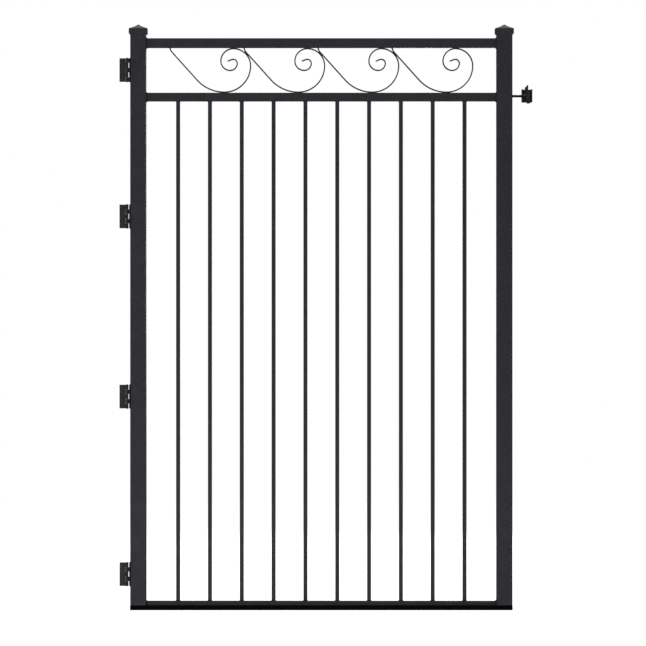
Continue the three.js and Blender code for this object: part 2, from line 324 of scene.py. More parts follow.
def prism(points, low, high, axis):
    return skin([[run_along(axis, u, v, w) for u, v in points] for w in (low, high)])


def turned(profile, centre, axis, sides=48, closed=False):
    """A lathe shape about a line through centre. The profile is (radius, distance along)."""
    rings = []
    for radius, along in profile:
        turn = [2 * math.pi * k / sides for k in range(sides)]
        ring = [run_along(axis, radius * math.cos(a), radius * math.sin(a), along) for a in turn]
        rings.append([Vector(point) + centre for point in ring])
    return skin(rings, closed)


def build(name, shells):
    """One object from closed shells, each given as vertices and faces."""
    work = bmesh.new()
    for vertices, faces in shells:
        made = [work.verts.new(v) for v in vertices]
        for face in faces:
            work.faces.new([made[i] for i in face])
    bmesh.ops.recalc_face_normals(work, faces=work.faces)
    mesh = bpy.data.meshes.new(name)
    work.to_mesh(mesh)
    work.free()
    piece = bpy.data.objects.new(name, mesh)
    bpy.context.scene.collection.objects.link(piece)
    return piece


def combine(piece, shell, operation):
    """Joins a shell to a piece, or cuts it away, and keeps the result as the piece's mesh."""
    tool = build("tool", [shell])
    modifier = piece.modifiers.new("combine", "BOOLEAN")
    modifier.operation = operation
    modifier.solver = "EXACT"
    modifier.object = tool
    solved = piece.evaluated_get(bpy.context.evaluated_depsgraph_get())
    mesh = bpy.data.meshes.new_from_object(solved)
    piece.modifiers.clear()
    spent = [piece.data, tool.data]
    piece.data = mesh
    bpy.data.objects.remove(tool)
    for old in spent:
        bpy.data.meshes.remove(old)
    mesh.name = piece.name


def shade_evenly(piece, weight):
    """Keeps flat faces flat in a smooth shaded piece."""
    even = piece.modifiers.new("even shading", "WEIGHTED_NORMAL")
    even.weight = weight


def soften(piece, width, segments, angle):
    """Rounds the sharp edges and shades the rest smooth, with flat faces kept flat."""
    piece.data.shade_smooth()
    bevel = piece.modifiers.new("rounded edges", "BEVEL")
    bevel.width = width
    bevel.segments = segments
    bevel.limit_method = "ANGLE"
    bevel.angle_limit = math.radians(angle)
    shade_evenly(piece, 90)
    return piece


def dress(piece, body, slot, material, *nodes):
    """Gives a new piece its material and says what it rides on and stands for."""
    piece.data.materials.clear()
    piece.data.materials.append(material)
    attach(piece, body)
    if nodes:
        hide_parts(*nodes)
    return piece


# ------------------------------------------------------------------ welds
BEAD_STEP = 0.5 * MM  # distance between the rings that make up a weld bead


def ripple(distance, phase=0.0):
    """A weld's unevenness: the close ripples of the bead over slower swells, the same on every run."""
    close = 0.05 * math.sin(2 * math.pi * distance / (1.9 * MM))
    swell = 0.05 * math.sin(2 * math.pi * distance / (13.7 * MM) + phase)
    return 1 + close + swell + 0.03 * math.sin(2 * math.pi * distance / (5.3 * MM) + 2 * phase)


def fillet(path, outward, upward, leg, closed):
    """A fillet weld along a seam. At each point one leg runs outward and the other upward."""
    root = 0.35 * MM  # how far the bead reaches into both pieces
    fade = 1.3 * leg  # length over which an open end tapers
    waist = 0.34  # how full the bead's face is, where 0.5 is flat
    travelled = [0.0]
    for before, after in zip(path, path[1:]):
        travelled.append(travelled[-1] + (after - before).length)
    phase = 900 * (path[0].x + path[0].z)
    rings = []
    for i, point in enumerate(path):
        reach = leg * ripple(travelled[i], phase)
        if not closed:
            to_end = min(travelled[i], travelled[-1] - travelled[i])
            reach *= math.sqrt(min(1.0, 0.12 + to_end / fade))
        a, b = Vector(outward[i]), Vector(upward[i])
        bow = []
        for k in range(6):
            t = k / 5
            across = (1 - t) ** 2 + 2 * t * (1 - t) * waist
            along = t**2 + 2 * t * (1 - t) * waist
            bow.append(Vector(point) + a * (across * reach) + b * (along * reach))
        bow[0] -= b * root
        bow[-1] -= a * root
        rings.append([Vector(point) - (a + b) * root, *bow])
    return skin(rings, closed)


def square_fillet(centre, half, corner, axis, at, direction, leg, lowest=None):
    """A fillet around a square bar that meets a face. It is left open below a lowest height."""
    outline = rounded_rectangle(half, half, corner, 4)
    fine = []
    for i, (u, v) in enumerate(outline):
        after = outline[(i + 1) % len(outline)]
        gap = math.dist((u, v), after)
        count = max(1, round(gap / BEAD_STEP))
        for k in range(count):
            fine.append((u + (after[0] - u) * k / count, v + (after[1] - v) * k / count))
    path, outward = [], []
    for u, v in fine:
        cu = max(-half + corner, min(half - corner, u))
        cv = max(-half + corner, min(half - corner, v))
        away = Vector((u - cu, v - cv)).normalized()
        path.append(centre + Vector(run_along(axis, u, v, 0)))
        outward.append(Vector(run_along(axis, away.x, away.y, 0)))
    for point in path:
        point["xyz".index(axis)] = at
    upward = [Vector(run_along(axis, 0, 0, direction))] * len(path)
    if lowest is None:
        return fillet(path, outward, upward, leg, True)
    kept = [i for i, point in enumerate(path) if point.z >= lowest]
    start = next(k for k, i in enumerate(kept) if (i - 1) % len(path) not in kept)
    kept = kept[start:] + kept[:start]
    return fillet([path[i] for i in kept], [outward[i] for i in kept], upward, leg, False)


def steps_between(start, end):
    """Points from start to end, both in, close enough for a bead's ripples."""
    count = max(2, round((end - start).length / BEAD_STEP))
    return [start.lerp(end, i / count) for i in range(count + 1)]


def tack(start, end, radius, sides=12):
    """A short bead of weld metal from start to end, round in section and tapered at both ends."""
    start, end = Vector(start), Vector(end)
    steps = max(8, round((end - start).length / BEAD_STEP))
    along = (end - start).normalized()
    side = along.cross(Vector((0, 1, 0)) if abs(along.y) < 0.9 else Vector((0, 0, 1))).normalized()
    other = along.cross(side)
    rings = []
    for i in range(steps + 1):
        share = i / steps
        taper = math.sqrt(max(0.03, 1 - (2 * share - 1) ** 4)) * ripple(i * BEAD_STEP, 700 * start.x)
        turns = [2 * math.pi * k / sides for k in range(sides)]
        point = start.lerp(end, share)
        rings.append([point + radius * taper * (side * math.cos(a) + other * math.sin(a)) for a in turns])
    return skin(rings)


# ------------------------------------------------------------------ material nodes
class Finish:
    """A material being made: each call adds one node and gives back the socket to use next."""

    def __init__(self, name, roughness, metallic=0.0):
        self.material = bpy.data.materials.new(name)
        self.material.use_nodes = True
        self.tree = self.material.node_tree
        self.surface = self.tree.nodes["Principled BSDF"]
        self.surface.inputs["Roughness"].default_value = roughness
        self.surface.inputs["Metallic"].default_value = metallic
        coordinates = self.tree.nodes.new("ShaderNodeTexCoord")
        self.place = coordinates.outputs["Object"]
        self.facing = coordinates.outputs["Normal"]

    def add(self, kind, inputs=None, **settings):
        node = self.tree.nodes.new(kind)
        for key, value in settings.items():
            setattr(node, key, value)
        for key, value in (inputs or {}).items():
            if isinstance(value, bpy.types.NodeSocket):
                self.tree.links.new(value, node.inputs[key])
            else:
                node.inputs[key].default_value = value
        return node

    def stretched(self, x, y, z):
        """The place, scaled on each axis, so that a pattern runs long one way."""
        return self.add("ShaderNodeMapping", {"Vector": self.place, "Scale": (x, y, z)}).outputs[0]

    def noise(self, scale, detail=3.0, rough=0.55, place=None):
        inputs = {"Vector": place or self.place, "Scale": scale, "Detail": detail, "Roughness": rough}
        return self.add("ShaderNodeTexNoise", inputs).outputs["Fac"]

    def cells(self, scale):
        inputs = {"Vector": self.place, "Scale": scale}
        return self.add("ShaderNodeTexVoronoi", inputs, feature="SMOOTH_F1").outputs["Distance"]

    def ranged(self, value, low, high, to_low=0.0, to_high=1.0):
        inputs = {"Value": value, "From Min": low, "From Max": high, "To Min": to_low, "To Max": to_high}
        return self.add("ShaderNodeMapRange", inputs).outputs[0]

    def sum(self, operation, first, second):
        return self.add("ShaderNodeMath", {0: first, 1: second}, operation=operation).outputs[0]

    def blend(self, share, first, second):
        node = self.add("ShaderNodeMix", {"Factor": share}, data_type="RGBA")
        for socket, value in ((node.inputs[6], first), (node.inputs[7], second)):
            if isinstance(value, bpy.types.NodeSocket):
                self.tree.links.new(value, socket)
            else:
                socket.default_value = value
        return node.outputs[2]

    def edges(self, radius, low=0.02, high=0.3):
        """Near 1 along edges and 0 on open faces."""
        bevel = self.add("ShaderNodeBevel", {"Radius": radius}, samples=6)
        normal = self.add("ShaderNodeNewGeometry").outputs["Normal"]
        inputs = {0: bevel.outputs[0], 1: normal}
        level = self.add("ShaderNodeVectorMath", inputs, operation="DOT_PRODUCT").outputs["Value"]
        return self.ranged(self.sum("SUBTRACT", 1.0, level), low, high)

    def upward(self, low=0.35, high=0.95):
        """Near 1 on faces that look up."""
        height = self.add("ShaderNodeSeparateXYZ", {0: self.facing}).outputs["Z"]
        return self.ranged(height, low, high)

    def relief(self, height, distance, strength=1.0, before=None):
        inputs = {"Height": height, "Distance": distance, "Strength": strength}
        if before:
            inputs["Normal"] = before
        return self.add("ShaderNodeBump", inputs).outputs[0]

    def use(self, **sockets):
        names = {
            "colour": "Base Color",
            "roughness": "Roughness",
            "normal": "Normal",
            "metallic": "Metallic",
        }
        for key, value in sockets.items():
            self.tree.links.new(value, self.surface.inputs[names[key]])
        return self.material


def shade(colour, factor):
    return (*[min(1.0, channel * factor) for channel in colour], 1.0)


def powder_coat(finishes):
    """Satin powder coat: fine orange peel, slow cloudiness, a thinner, glossier coat along the edges that is
    lightened there by a painted highlight, and a little dust.
    """
    coat = Finish("powder_coat", finishes.coat_roughness)
    colour = finishes.coat_colour
    cloud = coat.ranged(coat.noise(7, 4), 0.3, 0.7)
    tone = coat.blend(cloud, shade(colour, 0.93), shade(colour, 1.09))
    mottle = coat.ranged(coat.noise(420, 2, 0.45), 0.35, 0.7)
    tone = coat.blend(coat.sum("MULTIPLY", mottle, 0.5), tone, shade(colour, 1.25))
    # Edges get a lighter copy of the coat colour: partly a thinner coat, partly a painted highlight. The
    # roughness there drops a little.
    edge = coat.edges(1.6 * MM)
    tone = coat.blend(coat.sum("MULTIPLY", edge, 0.4), tone, shade(colour, 1.45))
    settled = coat.sum("MULTIPLY", coat.upward(), coat.ranged(coat.noise(45, 5), 0.35, 0.75, 0.3, 1.0))
    dusty = coat.sum("MULTIPLY", settled, finishes.dust)
    tone = coat.blend(dusty, tone, shade(finishes.dust_colour, 1.0))
    low, high = finishes.coat_roughness - 0.07, finishes.coat_roughness + 0.09
    sheen = coat.ranged(coat.noise(28, 6, 0.62), 0.3, 0.7, low, high)
    sheen = coat.sum("ADD", sheen, coat.sum("MULTIPLY", dusty, 0.6))
    sheen = coat.sum("SUBTRACT", sheen, coat.sum("MULTIPLY", edge, 0.06))
    peel = coat.relief(coat.noise(420, 2, 0.45), finishes.peel_depth, 0.9)
    grain = coat.relief(coat.noise(1900, 2), finishes.peel_depth * 0.35, 0.9, peel)
    return coat.use(colour=tone, roughness=sheen, normal=grain)


def moulded_cap(finishes):
    """Moulded plastic with a fine spark-eroded grain, faint flow marks and a painted highlight along its
    edges.
    """
    cap = Finish("moulded_cap", 0.46)
    colour = finishes.cap_colour
    flow = cap.ranged(cap.noise(60, 3, 0.5, cap.stretched(1, 1, 3)), 0.35, 0.65)
    tone = cap.blend(flow, shade(colour, 0.93), shade(colour, 1.08))
    # Painted highlight: a lighter copy of the cap colour laid along its edges.
    edge = cap.edges(1.2 * MM)
    tone = cap.blend(cap.sum("MULTIPLY", edge, 0.5), tone, shade(colour, 1.5))
    settled = cap.sum("MULTIPLY", cap.upward(), cap.ranged(cap.noise(90, 5), 0.35, 0.75, 0.25, 1.0))
    dusty = cap.sum("MULTIPLY", settled, finishes.dust)
    tone = cap.blend(dusty, tone, shade(finishes.dust_colour, 1.0))
    sheen = cap.ranged(cap.noise(35, 4), 0.3, 0.7, 0.42, 0.52)
    sheen = cap.sum("ADD", sheen, cap.sum("MULTIPLY", dusty, 0.5))
    grain = cap.relief(cap.cells(1300), 0.09 * MM, 0.8)
    wave = cap.relief(cap.noise(110, 2), 0.3 * MM, 0.5, grain)
    return cap.use(colour=tone, roughness=sheen, normal=wave)


def edging_rubber(finishes):
    """Extruded rubber: fine lines along its length, scuffed pale where it nears the ground."""
    rubber = Finish("edging_rubber", 0.85)
    colour = finishes.edging_colour
    lines = rubber.noise(160, 4, 0.6, rubber.stretched(0.06, 1, 1))
    tone = rubber.blend(rubber.ranged(lines, 0.35, 0.65), shade(colour, 0.8), shade(colour, 1.4))
    height = rubber.add("ShaderNodeSeparateXYZ", {0: rubber.place}).outputs["Z"]
    low_down = rubber.ranged(height, 5 * MM, 0.0)
    scuff = rubber.ranged(rubber.noise(70, 6, 0.7, rubber.stretched(0.35, 1, 1)), 0.52, 0.74)
    worn = rubber.sum("MULTIPLY", rubber.sum("MULTIPLY", low_down, scuff), 0.3)
    tone = rubber.blend(worn, tone, (0.05, 0.048, 0.045, 1.0))
    settled = rubber.sum("MULTIPLY", rubber.upward(0.6, 0.95), finishes.dust * 0.5)
    tone = rubber.blend(settled, tone, shade(finishes.dust_colour, 1.0))
    sheen = rubber.ranged(lines, 0.3, 0.7, 0.76, 0.9)
    ribs = rubber.relief(rubber.noise(900, 3, 0.6, rubber.stretched(0.02, 1, 1)), 0.06 * MM, 0.5)
    pores = rubber.relief(rubber.noise(1500, 2), 0.03 * MM, 0.4, ribs)
    material = rubber.use(colour=tone, roughness=sheen, normal=pores)
    rubber.surface.inputs["Specular IOR Level"].default_value = 0.05
    return material


def rubbed_paint(name, colour, finishes, wear, radius, rough, metal_grain):
    """Black paint on steel, rubbed through along its edges, where the paint is also thinner and lightened by
    a painted highlight.

    Wear is how much steel shows, radius how far an edge's wear and painted highlight reach, rough the
    paint's roughness and metal_grain the scale of the steel's own unevenness under the paint.
    """
    paint = Finish(name, rough)
    cloud = paint.ranged(paint.noise(40, 4), 0.3, 0.7)
    tone = paint.blend(cloud, shade(colour, 0.9), shade(colour, 1.12))
    edge = paint.edges(radius, 0.04, 0.34)
    broken = paint.ranged(paint.noise(240, 5, 0.65), 0.46, 0.62)
    # Thinner paint along the edges, shown as a painted highlight: the paint colour at twice its brightness.
    # The rubbed-through steel below is real wear.
    thin = paint.sum("MULTIPLY", edge, 0.35)
    tone = paint.blend(thin, tone, shade(colour, 2.0))
    rubbed = paint.sum("MULTIPLY", paint.sum("MULTIPLY", edge, broken), wear)
    tone = paint.blend(rubbed, tone, shade(finishes.bare_steel, 1.0))
    settled = paint.sum("MULTIPLY", paint.upward(0.6, 0.98), finishes.dust * 0.8)
    tone = paint.blend(settled, tone, shade(finishes.dust_colour, 1.0))
    sheen = paint.ranged(paint.noise(80, 5), 0.3, 0.7, rough - 0.07, rough + 0.09)
    peel = paint.relief(paint.noise(650, 3, 0.5), 0.09 * MM, 0.8)
    grain = paint.relief(paint.noise(metal_grain, 4, 0.6), 0.16 * MM, 0.6, peel)
    return paint.use(colour=tone, roughness=sheen, normal=grain, metallic=rubbed)


def blackened_steel(finishes):
    """Blackened steel: turning lines, a thin film of oil and brighter rubbed patches."""
    steel = Finish("blackened_steel", 0.36, 0.75)
    colour = finishes.pin_colour
    lines = steel.noise(900, 3, 0.6, steel.stretched(1, 0.15, 0.15))
    tone = steel.blend(steel.ranged(lines, 0.3, 0.7), shade(colour, 0.75), shade(colour, 1.35))
    edge = steel.edges(0.8 * MM, 0.03, 0.3)
    broken = steel.ranged(steel.noise(300, 5, 0.65), 0.42, 0.6)
    rubbed = steel.sum("MULTIPLY", steel.sum("MULTIPLY", edge, broken), 0.55)
    tone = steel.blend(rubbed, tone, shade(finishes.bare_steel, 1.0))
    film = steel.ranged(steel.noise(110, 5), 0.3, 0.7, 0.28, 0.46)
    turning = steel.relief(lines, 0.06 * MM, 0.8)
    return steel.use(colour=tone, roughness=film, normal=turning)


def finish(name):
    """The material of a slot, made the first time it is asked for."""
    if name in bpy.data.materials:
        return bpy.data.materials[name]
    finishes = bpy.context.scene.gate_finishes
    black = finishes.hinge_colour
    makers = {
        "powder_coat": lambda: powder_coat(finishes),
        "moulded_cap": lambda: moulded_cap(finishes),
        "edging_rubber": lambda: edging_rubber(finishes),
        "hinge_paint": lambda: rubbed_paint("hinge_paint", black, finishes, 0.5, 0.8 * MM, 0.42, 300),
        "latch_paint": lambda: rubbed_paint("latch_paint", black, finishes, 0.6, 1.0 * MM, 0.46, 170),
        "blackened_steel": lambda: blackened_steel(finishes),
    }
    return makers[name]()


# ------------------------------------------------------------------ pieces
class GATE_OT_tubes(bpy.types.Operator):
    """Coat the posts, rails and pickets and round the ends of their tubes"""

    bl_idname = "gate.tubes"
    bl_label = "Posts, rails and pickets"

    def execute(self, context):
        for name in STILES + RAILS + PICKETS:
            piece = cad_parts[name]
            for material_slot in piece.material_slots:
                material_slot.material = finish("powder_coat")
            joined = piece.modifiers.new("shared corners", "WELD")
            joined.merge_threshold = 0.01 * MM
            soften(piece, context.scene.gate_details.edge_rounding, 2, 40)
        return {"FINISHED"}


class GATE_OT_caps(bpy.types.Operator):
    """Make the two moulded post caps, hollow underneath"""

    bl_idname = "gate.caps"
    bl_label = "Post caps"

    def execute(self, context):
        for side in STILES:
            self.make(side, context.scene.gate_details.cap_corner)
        return {"FINISHED"}

    def make(self, side, corner):
        node = side + "_cap"
        low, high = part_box(node)
        centre = middle(node)
        half = half_size(node).x
        clearance = 0.35 * MM  # between the tube and the cap
        socket = half_size(side).x + clearance
        wall = 2.2 * MM  # roof over the end of the tube
        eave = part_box(side)[1].z + clearance + wall
        rise = high.z - eave
        lip = 0.5 * MM  # eased edge of the socket
        brim_top = 1.1 * MM  # height of the rounding between the brim and the roof
        sag = 0.4  # how hollow the slopes are, where 0 is straight
        levels = [
            (0.4 * MM, eave - wall, 0.1 * MM),
            (socket - lip, eave - wall, corner * 0.5),
            (socket, eave - wall - lip, corner * 0.6),
            (socket, low.z + lip, corner * 0.6),
            (socket + 0.4 * lip, low.z + 0.3 * lip, corner * 0.7),
            (socket + lip, low.z, corner * 0.7),
            (half - 2.7 * MM, low.z, corner * 0.8),
            (half - 2.2 * MM, low.z + 0.15 * MM, corner * 0.8),
            (half - 0.45 * MM, low.z + 2.4 * MM, corner),
            (half - 0.1 * MM, low.z + 3.1 * MM, corner),
            (half, low.z + 3.9 * MM, corner),
            (half, eave - brim_top, corner),
            (half - 0.12 * MM, eave - 0.5 * brim_top, corner),
            (half - 0.5 * MM, eave + 0.05 * MM, corner),
        ]
        slopes = 14
        for i in range(1, slopes + 1):
            share = 0.035 + 0.945 * i / slopes  # of the way from the eave to the point
            height = eave + rise * ((1 - sag) * share + sag * share * share)
            levels.append((half * (1 - share), height, max(0.15 * MM, 0.12 * half * (1 - share))))
        levels.append((0.2 * MM, high.z, 0.1 * MM))
        rings = []
        for size, z, radius in levels:
            outline = rounded_rectangle(size, size, min(radius, size * 0.9), 5)
            rings.append([(centre.x + x, centre.y + y, z) for x, y in outline])
        piece = build(side + "_moulded_cap", [skin(rings)])
        piece.data.shade_smooth()
        shade_evenly(piece, 60)
        dress(piece, "gate", "cap_plastic", finish("moulded_cap"), node)


class Scroll:
    """One scroll's centre line: a straight tail, a foot and a coil of tightening quarter turns."""

    tail_slope, kick_slope, end_slope = 48, 72, 22  # degrees
    kick_length = 9 * MM  # steeper end of the tail, under the top rail
    bend = 0.842  # radius between the tail and the foot, as a share of the rise
    quarters = (0.604, 0.396, 0.287, 0.214, 0.162, 0.0935)  # the coil's radii, as shares of the rise
    tip = 0.1  # length of the straight end inside the coil, as a share of the rise
    arc_steps = 22
    eased = 0.55 * MM  # radius of the bar's edges

    def __init__(self, node):
        low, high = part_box(node)
        self.thickness = 4 * MM
        self.half_depth = (high.y - low.y) / 2
        self.y = (low.y + high.y) / 2
        self.rise = high.z - low.z - self.thickness
        self.radii = [share * self.rise for share in self.quarters]
        self.foot = Vector((high.x - self.radii[0] - self.thickness / 2, low.z + self.thickness / 2))

    def line(self):
        slope, kick = math.radians(self.tail_slope), math.radians(self.kick_slope)
        radius = self.bend * self.rise
        bend = Vector((-radius * math.sin(slope), radius * (1 - math.cos(slope))))
        end_z = self.rise + self.thickness / 2 * (1 - math.cos(kick))
        kick_z = end_z - self.kick_length * math.sin(kick)
        kick_x = bend.x - (kick_z - bend.y) / math.tan(slope)
        top = Vector((kick_x - self.kick_length * math.cos(kick), end_z))
        knee = Vector((kick_x, kick_z))
        points = [top, top.lerp(knee, 0.4), top.lerp(knee, 0.75)]
        points += [knee.lerp(bend, 0.03), *[knee.lerp(bend, 0.12 + 0.88 * k / 12) for k in range(13)]]
        turn_in = arc(0, radius, radius, -90 - self.tail_slope, -90, self.arc_steps)
        points += [Vector(p) for p in turn_in[1:]]
        spot = Vector((0, 0))
        for turn, size in enumerate(self.radii):
            start = -90 + 90 * turn
            stop = start + 90 + (self.end_slope if turn == len(self.radii) - 1 else 0)
            facing = Vector((math.cos(math.radians(start)), math.sin(math.radians(start))))
            hub = spot - facing * size
            quarter = arc(hub.x, hub.y, size, start, stop, self.arc_steps)
            points += [Vector(p) for p in quarter[1:]]
            spot = points[-1]
        slope = math.radians(self.end_slope)
        heading = -Vector((math.cos(slope), math.sin(slope)))
        points += [spot + heading * (self.tip * self.rise * k / 3) for k in (1, 2, 3)]
        return [self.foot + point for point in points]

    def bar(self):
        line = self.line()
        outline = rounded_rectangle(self.thickness / 2, self.half_depth, self.eased, 3)
        rings = []
        for i, point in enumerate(line):
            before, after = line[max(i - 1, 0)], line[min(i + 1, len(line) - 1)]
            along = (after - before).normalized()
            across = Vector((-along.y, along.x))
            at_end = i in (0, len(line) - 1)
            thin, shallow = (0.86, 0.965) if at_end else (1.0, 1.0)  # both ends are eased
            ring = []
            for u, v in outline:
                spot = point + across * (u * thin)
                ring.append((spot.x, self.y + v * shallow, spot.y))
            rings.append(ring)
        return skin(rings)

    def seats(self):
        """Where the bar touches the rails: under the foot, over the coil and at the tail's end."""
        first, second = self.radii[:2]
        under = self.foot - Vector((0, self.thickness / 2))
        over = self.foot + Vector((first - second, first + second + self.thickness / 2))
        tail = self.line()[0]
        return under, over, Vector((tail.x + 0.6 * MM, over.y))

    def brush(self):
        """Where the next scroll's tail brushes the coil, and the way that the tail runs there."""
        first, second = self.radii[:2]
        slope = math.radians(self.tail_slope)
        hub = self.foot + Vector((first - second, first))
        reach = second + self.thickness / 2
        spot = hub + Vector((math.sin(slope), math.cos(slope))) * reach
        return spot, Vector((math.cos(slope), -math.sin(slope)))


class GATE_OT_scrolls(bpy.types.Operator):
    """Make the four scrolls from flat bar with eased edges"""

    bl_idname = "gate.scrolls"
    bl_label = "Scrolls"

    def execute(self, context):
        for node in SCROLLS:
            piece = build(node + "_bar", [Scroll(node).bar()])
            piece.data.shade_smooth()
            shade_evenly(piece, 70)
            dress(piece, "gate", "coated_steel", finish("powder_coat"), node)
        return {"FINISHED"}


class GATE_OT_edging(bpy.types.Operator):
    """Make the rubber edging along the bottom of the leaf"""

    bl_idname = "gate.edging"
    bl_label = "Bottom edging"

    def execute(self, context):
        low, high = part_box("bottom_channel")
        y = middle("bottom_channel").y
        swell = 0.8 * MM
        wall = 1.2 * MM
        outside = half_size("bottom_channel").y - swell
        inside = outside - wall
        bead_z, bead_half, top = 7.2 * MM, 1.5 * MM, high.z - low.z
        side = [(outside - 0.7 * MM, 0), (outside - 0.2 * MM, 0.2 * MM), (outside, 0.7 * MM)]
        side.append((outside, bead_z - bead_half - 0.4 * MM))
        for k in range(9):
            turn = math.pi * k / 8
            z = bead_z - bead_half * math.cos(turn)
            side.append((outside + swell * math.sin(turn) ** 1.3, z))
        side += [(outside, bead_z + bead_half + 0.4 * MM), (outside, top - 0.45 * MM)]
        side += [(outside - 0.15 * MM, top - 0.12 * MM), (outside - wall / 2, top)]
        side += [(inside + 0.15 * MM, top - 0.12 * MM), (inside, top - 0.45 * MM)]
        side += [(inside, wall + 0.6 * MM), (inside - 0.6 * MM, wall)]
        section = side + [(-u, v) for u, v in reversed(side)]
        section = [(y + u, low.z + v) for u, v in section]
        stations = 48
        lips = low.z + 10 * MM  # the rubber waves slightly above this height
        rings = []
        for i in range(stations + 1):
            x = low.x + (high.x - low.x) * i / stations
            wave = 0.07 * MM * math.sin(i * 1.7) + 0.05 * MM * math.sin(i * 0.63 + 1)
            ends = 0 if i in (0, stations) else 1
            rings.append([(x, u + wave * ends * (v > lips), v) for u, v in section])
        piece = build("bottom_edging", [skin(rings)])
        soften(piece, 0.15 * MM, 2, 50)
        dress(piece, "gate", "edging", finish("edging_rubber"), "bottom_channel")
        return {"FINISHED"}


class Hinge:
    """Sizes of one hinge, about its own pin, with outlines as (x, y) from the pin's axis."""

    knuckles = 5
    gap = 0.5 * MM
    thickness = 3 * MM
    barrel = 4.5 * MM
    bore = 2.58 * MM

    def __init__(self, number):
        self.number = number
        self.post_leaf, self.gate_leaf = "post_leaf_" + number, "gate_leaf_" + number
        low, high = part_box(self.gate_leaf)
        self.half = (high.z - low.z) / 2
        pin = middle("hinge_pin_" + number)
        self.centre = Vector((pin.x, pin.y, (low.z + high.z) / 2))
        self.upside_down = number == HINGES[0]

    def span(self, k):
        height = (2 * self.half - (self.knuckles - 1) * self.gap) / self.knuckles
        bottom = self.centre.z - self.half + k * (height + self.gap)
        return bottom, bottom + height

    def knuckle(self, k):
        bottom, top = self.span(k)
        ease, nib = 0.35 * MM, 0.1 * MM  # width of the eased edge, and how far its middle is set in
        outer, inner = self.barrel, self.bore
        profile = [
            (inner, bottom + ease), (inner + ease, bottom), (outer - ease, bottom),
            (outer - nib, bottom + nib), (outer, bottom + ease), (outer, top - ease),
            (outer - nib, top - nib), (outer - ease, top), (inner + ease, top), (inner, top - ease),
        ]
        return turned(profile, Vector((self.centre.x, self.centre.y, 0)), "z", 48, True)

    def placed(self, points):
        return [(self.centre.x + x, self.centre.y + y) for x, y in points]

    def tongue(self, side, reach):
        """The strip that leaves the barrel's back and runs to reach, on the side given as 1 or -1."""
        front, back = self.barrel - self.thickness, self.barrel
        inner = [(2.15 * MM, front), (1.2 * MM, 2.95 * MM), (0, 3.6 * MM), (0, back)]
        outline = [(reach, back), (reach, front), *inner]
        return self.placed([(side * x, y) for x, y in outline])

    def fixed_leaf(self):
        low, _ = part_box(self.post_leaf)
        reach = self.centre.x - low.x
        edge = self.barrel + 0.3 * MM
        front, back = self.barrel - self.thickness, self.barrel
        corner = 1.1 * MM
        plate = [(-edge, front), (-edge, back), (-reach + corner, back)]
        plate += arc(-reach + corner, back - corner, corner, 90, 180, 3)[1:]
        plate += arc(-reach + corner, front + corner, corner, 180, 270, 3)
        z0, z1 = self.centre.z - self.half, self.centre.z + self.half
        shells = [prism(self.placed(plate), z0, z1, "z")]
        for k in range(1 if self.upside_down else 0, self.knuckles, 2):
            bottom, top = self.span(k)
            shells.append(self.knuckle(k))
            shells.append(prism(self.tongue(-1, edge + 0.5 * MM), bottom, top, "z"))
        return shells

    def moving_leaf(self):
        _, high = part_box(self.gate_leaf)
        inner = high.x - self.centre.x
        back = high.y - self.centre.y
        front = self.barrel - self.thickness
        bend = 1.6 * MM
        flange = [(inner, back), (inner - self.thickness, back), (inner - self.thickness, front)]
        flange += arc(inner - bend, front + bend, bend, -90, 0, 5)
        z0, z1 = self.centre.z - self.half, self.centre.z + self.half
        shells = [prism(self.placed(flange), z0, z1, "z")]
        for k in range(0 if self.upside_down else 1, self.knuckles, 2):
            bottom, top = self.span(k)
            shells.append(self.knuckle(k))
            shells.append(prism(self.tongue(1, inner - 1.5 * MM), bottom, top, "z"))
        return shells

    def pin(self):
        low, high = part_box("hinge_pin_" + self.number)
        radius, head = 2.5 * MM, 3.6 * MM
        seat = self.centre.z + self.half + self.gap / 2
        top = high.z
        profile = [(0.3 * MM, low.z), (radius - 0.9 * MM, low.z + 0.05 * MM)]
        profile += [(radius - 0.3 * MM, low.z + 0.35 * MM), (radius, low.z + 0.9 * MM)]
        profile += [(radius, seat), (head - 0.2 * MM, seat), (head, seat + 0.2 * MM)]
        profile += [(head, top - 0.55 * MM), (head - 0.35 * MM, top - 0.25 * MM)]
        profile += [(head * 0.55, top - 0.05 * MM), (0.3 * MM, top)]
        return turned(profile, Vector((self.centre.x, self.centre.y, 0)), "z", 40)

    def welds(self, leg):
        """Fillets round the three free edges of the moving leaf's flange, on the post's side."""
        low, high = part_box(self.gate_leaf)
        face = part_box("hinge_stile")[0].x
        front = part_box("hinge_stile")[0].y + 4 * MM  # behind the post's front corner
        spans = []
        for z, out in ((low.z, -1), (high.z, 1)):
            across = steps_between(Vector((face, front, z)), Vector((face, high.y, z)))
            spans.append((across, Vector((0, 0, out))))
        upright = steps_between(Vector((face, high.y, low.z)), Vector((face, high.y, high.z)))
        spans.append((upright, Vector((0, 1, 0))))
        upward = Vector((-1, 0, 0))
        return [
            fillet(path, [out] * len(path), [upward] * len(path), leg, False)
            for path, out in spans
        ]


class GATE_OT_hinges(bpy.types.Operator):
    """Make the leaves and pins of the four knuckle hinges"""

    bl_idname = "gate.hinges"
    bl_label = "Hinges"

    def execute(self, context):
        rounding = context.scene.gate_details.edge_rounding
        paint = finish("hinge_paint")
        for number in HINGES:
            hinge = Hinge(number)
            fixed = soften(build("fixed_leaf_" + number, hinge.fixed_leaf()), rounding, 2, 50)
            dress(fixed, "mounting", "hinge_steel", paint, hinge.post_leaf)
            moving = soften(build("moving_leaf_" + number, hinge.moving_leaf()), rounding, 2, 50)
            dress(moving, "gate", "hinge_steel", paint, hinge.gate_leaf)
            pin = soften(build("pin_" + number, [hinge.pin()]), 0.15 * MM, 2, 50)
            dress(pin, "mounting", "pin_steel", finish("blackened_steel"), "hinge_pin_" + number)
        return {"FINISHED"}


